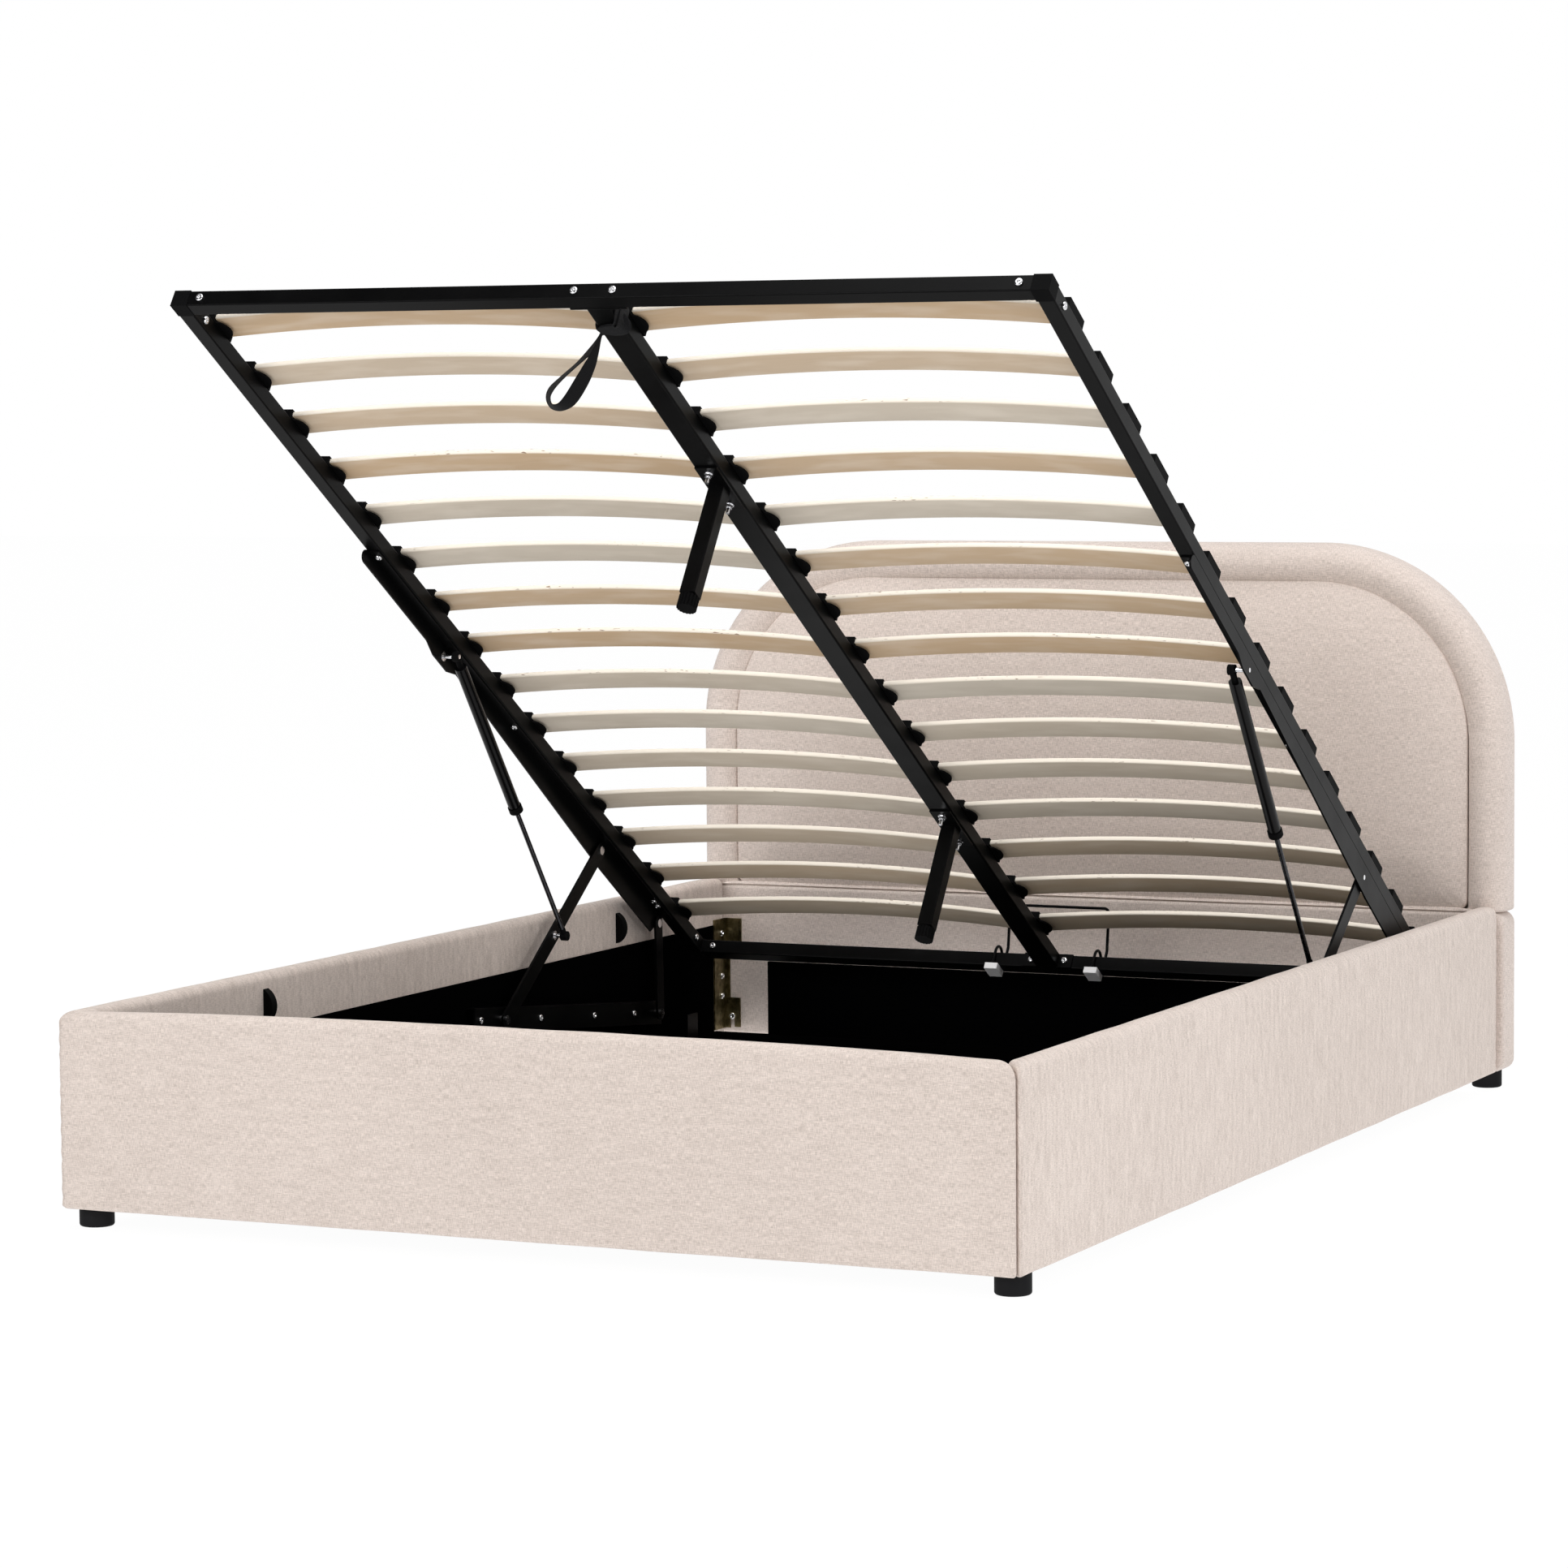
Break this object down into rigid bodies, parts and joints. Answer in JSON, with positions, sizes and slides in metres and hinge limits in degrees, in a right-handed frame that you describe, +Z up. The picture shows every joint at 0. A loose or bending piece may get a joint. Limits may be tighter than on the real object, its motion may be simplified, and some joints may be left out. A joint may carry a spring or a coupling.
{
  "type": "storage bed",
  "caption": "Upholstered lift-up storage bed with an arched headboard, sprung slat deck on gas struts and an open box beneath.",
  "frame": {"origin": "on the floor under the middle of the whole bed", "axes": "+Y from the foot board to the headboard, +X to the bed's right seen from the foot, +Z up"},
  "size_m": [1.482, 2.165, 1.3277],
  "materials": {
    "upholstery": "heathered woven upholstery fabric over foam, warm grey beige",
    "black_plastic": "moulded black plastic",
    "lining": "black non-woven lining",
    "dark_board": "thin board faced in matt black",
    "yellow_zinc": "yellow passivated zinc plate",
    "zinc": "bright zinc plate",
    "black_steel": "black powder coat",
    "birch": "pale bent birch laths with a clear seal",
    "rod_steel": "dark ground rod",
    "webbing": "black woven webbing",
    "white_plastic": "white moulded plastic"
  },
  "bodies": {
    "base": {"foot_board": "upholstery", "left_rail": "upholstery", "right_rail": "upholstery", "headboard_border": "upholstery", "headboard_pad": "upholstery", "headboard_base": "upholstery", "feet": "black_plastic", "box_liners": "lining", "board_brackets": "black_steel", "base_boards": "dark_board", "board_glides": "black_plastic", "head_wall": "dark_board", "wall_brackets": "black_steel", "side_guides": "black_plastic", "corner_brackets": "yellow_zinc", "hook_plates": "yellow_zinc", "corner_bolts": "zinc", "base_channels": "black_steel", "channel_bolts": "zinc", "lower_pivots": "zinc"},
    "front_link_pair": {"front_links": "black_steel", "front_rivets": "zinc", "lower_strut_studs": "zinc"},
    "rear_link_pair": {"rear_links": "black_steel", "rear_rivets": "zinc", "rear_lower_rivets": "zinc"},
    "deck": {"foot_tube": "black_steel", "head_tube": "black_steel", "left_tube": "black_steel", "right_tube": "black_steel", "corner_elbows": "black_plastic", "centre_beam": "black_steel", "beam_plates": "black_steel", "frame_bolts": "zinc", "left_slats": "birch", "right_slats": "birch", "left_holders": "black_plastic", "right_holders": "black_plastic", "beam_holders": "black_plastic", "lift_arms": "black_steel", "arm_screws": "zinc", "upper_strut_studs": "zinc", "leg_plates": "black_steel", "leg_screws": "zinc", "support_legs": "black_steel", "leg_plugs": "black_plastic", "pull_strap": "webbing", "mattress_retainer": "black_steel", "retainer_blocks": "white_plastic"},
    "gas_cylinders": {"strut_sockets": "black_plastic", "strut_cylinders": "black_steel", "strut_collars": "black_plastic"},
    "gas_rods": {"strut_rods": "rod_steel", "strut_pistons": "black_steel", "rod_ends": "black_plastic"},
    "front_leveller": {"front_levelling_foot": "black_plastic"},
    "rear_leveller": {"rear_levelling_foot": "black_plastic"}
  },
  "joints": [
    {"name": "front_links_turn", "type": "hinge", "parent": "base", "child": "front_link_pair", "pos_m": [0, 0.1395, 0.157], "axis": [1, 0, 0], "range_deg": [-29.1, 0]},
    {"name": "deck_lift", "type": "hinge", "parent": "front_link_pair", "child": "deck", "pos_m": [0, 0.48123, 0.40557], "axis": [1, 0, 0], "range_deg": [0, 62.74], "stiffness_Nm_per_rad": 40, "springref_deg": -171.89},
    {"name": "rear_links_turn", "type": "hinge", "parent": "deck", "child": "rear_link_pair", "pos_m": [0, 0.69686, 0.26029], "axis": [1, 0, 0], "range_deg": [-83.9, 0]},
    {"name": "gas_cylinders_turn", "type": "hinge", "parent": "deck", "child": "gas_cylinders", "pos_m": [0, -0.05091, 0.76113], "axis": [1, 0, 0], "range_deg": [0, 16.3]},
    {"name": "gas_rods_slide", "type": "slide", "parent": "gas_cylinders", "child": "gas_rods", "axis": [0, 0.5958, -0.8031], "range_m": [-0.1745, 0]},
    {"name": "front_foot_screw", "type": "slide", "parent": "deck", "child": "front_leveller", "axis": [0, -0.5556, -0.8315], "range_m": [0, 0.018]},
    {"name": "rear_foot_screw", "type": "slide", "parent": "deck", "child": "rear_leveller", "axis": [0, -0.5556, -0.8315], "range_m": [0, 0.018]}
  ],
  "couplings": [
    {"joint": "front_links_turn", "follows": "deck_lift", "ratio": -0.46207},
    {"joint": "rear_links_turn", "follows": "deck_lift", "ratio": -1.3338},
    {"joint": "gas_cylinders_turn", "follows": "deck_lift", "ratio": 0.25709},
    {"joint": "gas_rods_slide", "follows": "deck_lift", "m_per_rad": -0.15859}
  ]
}
